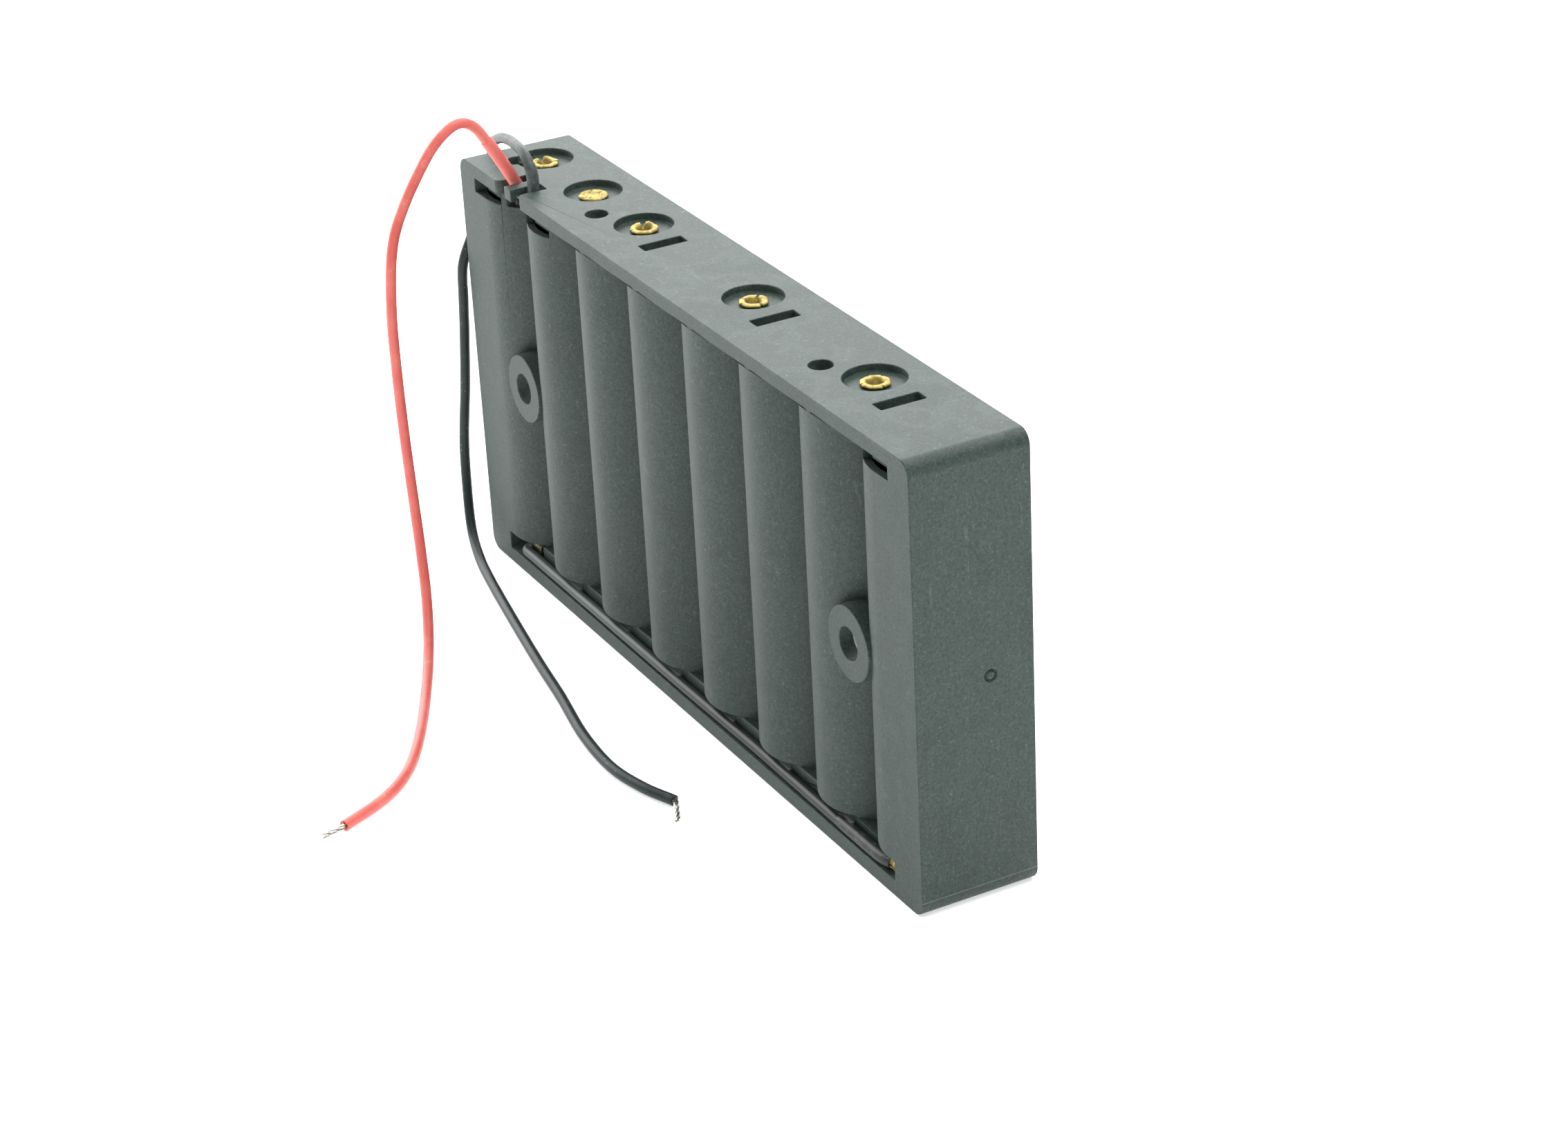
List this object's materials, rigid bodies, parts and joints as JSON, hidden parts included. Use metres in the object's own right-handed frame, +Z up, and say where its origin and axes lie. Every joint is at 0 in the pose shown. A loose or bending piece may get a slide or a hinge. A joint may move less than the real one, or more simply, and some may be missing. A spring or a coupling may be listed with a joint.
{
  "type": "battery holder",
  "caption": "Open moulded holder for AA cells side by side: scalloped back, riveted contacts, coil springs, jumper wire in a channel, red and black leads.",
  "frame": {"origin": "middle of the resting (bottom) face of the tray, leads left out", "axes": "+X along the row of bays, away from the lead notch; +Y from the scalloped back to the open front; +Z up along the cells' axes"},
  "size_m": [0.1317, 0.0723, 0.073],
  "materials": {
    "tray_plastic": "fine matte texture",
    "brass": "satin",
    "nickel_plate": "satin nickel plate",
    "spring_steel": "bright",
    "red_insulation": "soft gloss",
    "black_insulation": "soft gloss",
    "tinned_copper": "bright"
  },
  "bodies": {
    "holder": {"tray": "tray_plastic", "positive_terminal_plate": "nickel_plate", "negative_terminal_plate": "nickel_plate", "jumper_plate_1": "nickel_plate", "jumper_plate_8": "nickel_plate", "top_bridge_3_4": "nickel_plate", "top_bridge_5_6": "nickel_plate", "top_bridge_7_8": "nickel_plate", "bottom_bridge_2_3": "nickel_plate", "bottom_bridge_4_5": "nickel_plate", "bottom_bridge_6_7": "nickel_plate", "top_rivet_1": "brass", "top_rivet_2": "brass", "top_rivet_3": "brass", "top_rivet_5": "brass", "top_rivet_7": "brass", "bottom_rivet_1": "brass", "bottom_rivet_2": "brass", "bottom_rivet_4": "brass", "bottom_rivet_6": "brass", "bottom_rivet_8": "brass", "spring_1": "spring_steel", "spring_2": "spring_steel", "spring_3": "spring_steel", "spring_4": "spring_steel", "spring_5": "spring_steel", "spring_6": "spring_steel", "spring_7": "spring_steel", "spring_8": "spring_steel", "jumper_wire": "black_insulation", "jumper_sleeve": "black_insulation", "jumper_crimp_1": "brass", "jumper_crimp_8": "brass", "positive_crimp": "nickel_plate", "negative_crimp": "nickel_plate", "red_lead": "red_insulation", "red_lead_sleeve": "red_insulation", "red_lead_bare_end": "tinned_copper", "black_lead": "black_insulation", "black_lead_sleeve": "black_insulation", "black_lead_bare_end": "tinned_copper"},
    "spring_end_1": {"spring_tip_1": "spring_steel"},
    "spring_end_2": {"spring_tip_2": "spring_steel"},
    "spring_end_3": {"spring_tip_3": "spring_steel"},
    "spring_end_4": {"spring_tip_4": "spring_steel"},
    "spring_end_5": {"spring_tip_5": "spring_steel"},
    "spring_end_6": {"spring_tip_6": "spring_steel"},
    "spring_end_7": {"spring_tip_7": "spring_steel"},
    "spring_end_8": {"spring_tip_8": "spring_steel"}
  },
  "joints": [
    {"name": "spring_1_press", "type": "slide", "parent": "holder", "child": "spring_end_1", "axis": [0, 0, -1], "range_m": [0, 0.004], "stiffness_N_per_m": 900, "deforming": ["spring_1"]},
    {"name": "spring_2_press", "type": "slide", "parent": "holder", "child": "spring_end_2", "axis": [0, 0, 1], "range_m": [0, 0.004], "stiffness_N_per_m": 900, "deforming": ["spring_2"]},
    {"name": "spring_3_press", "type": "slide", "parent": "holder", "child": "spring_end_3", "axis": [0, 0, -1], "range_m": [0, 0.004], "stiffness_N_per_m": 900, "deforming": ["spring_3"]},
    {"name": "spring_4_press", "type": "slide", "parent": "holder", "child": "spring_end_4", "axis": [0, 0, 1], "range_m": [0, 0.004], "stiffness_N_per_m": 900, "deforming": ["spring_4"]},
    {"name": "spring_5_press", "type": "slide", "parent": "holder", "child": "spring_end_5", "axis": [0, 0, -1], "range_m": [0, 0.004], "stiffness_N_per_m": 900, "deforming": ["spring_5"]},
    {"name": "spring_6_press", "type": "slide", "parent": "holder", "child": "spring_end_6", "axis": [0, 0, 1], "range_m": [0, 0.004], "stiffness_N_per_m": 900, "deforming": ["spring_6"]},
    {"name": "spring_7_press", "type": "slide", "parent": "holder", "child": "spring_end_7", "axis": [0, 0, -1], "range_m": [0, 0.004], "stiffness_N_per_m": 900, "deforming": ["spring_7"]},
    {"name": "spring_8_press", "type": "slide", "parent": "holder", "child": "spring_end_8", "axis": [0, 0, 1], "range_m": [0, 0.004], "stiffness_N_per_m": 900, "deforming": ["spring_8"]}
  ]
}
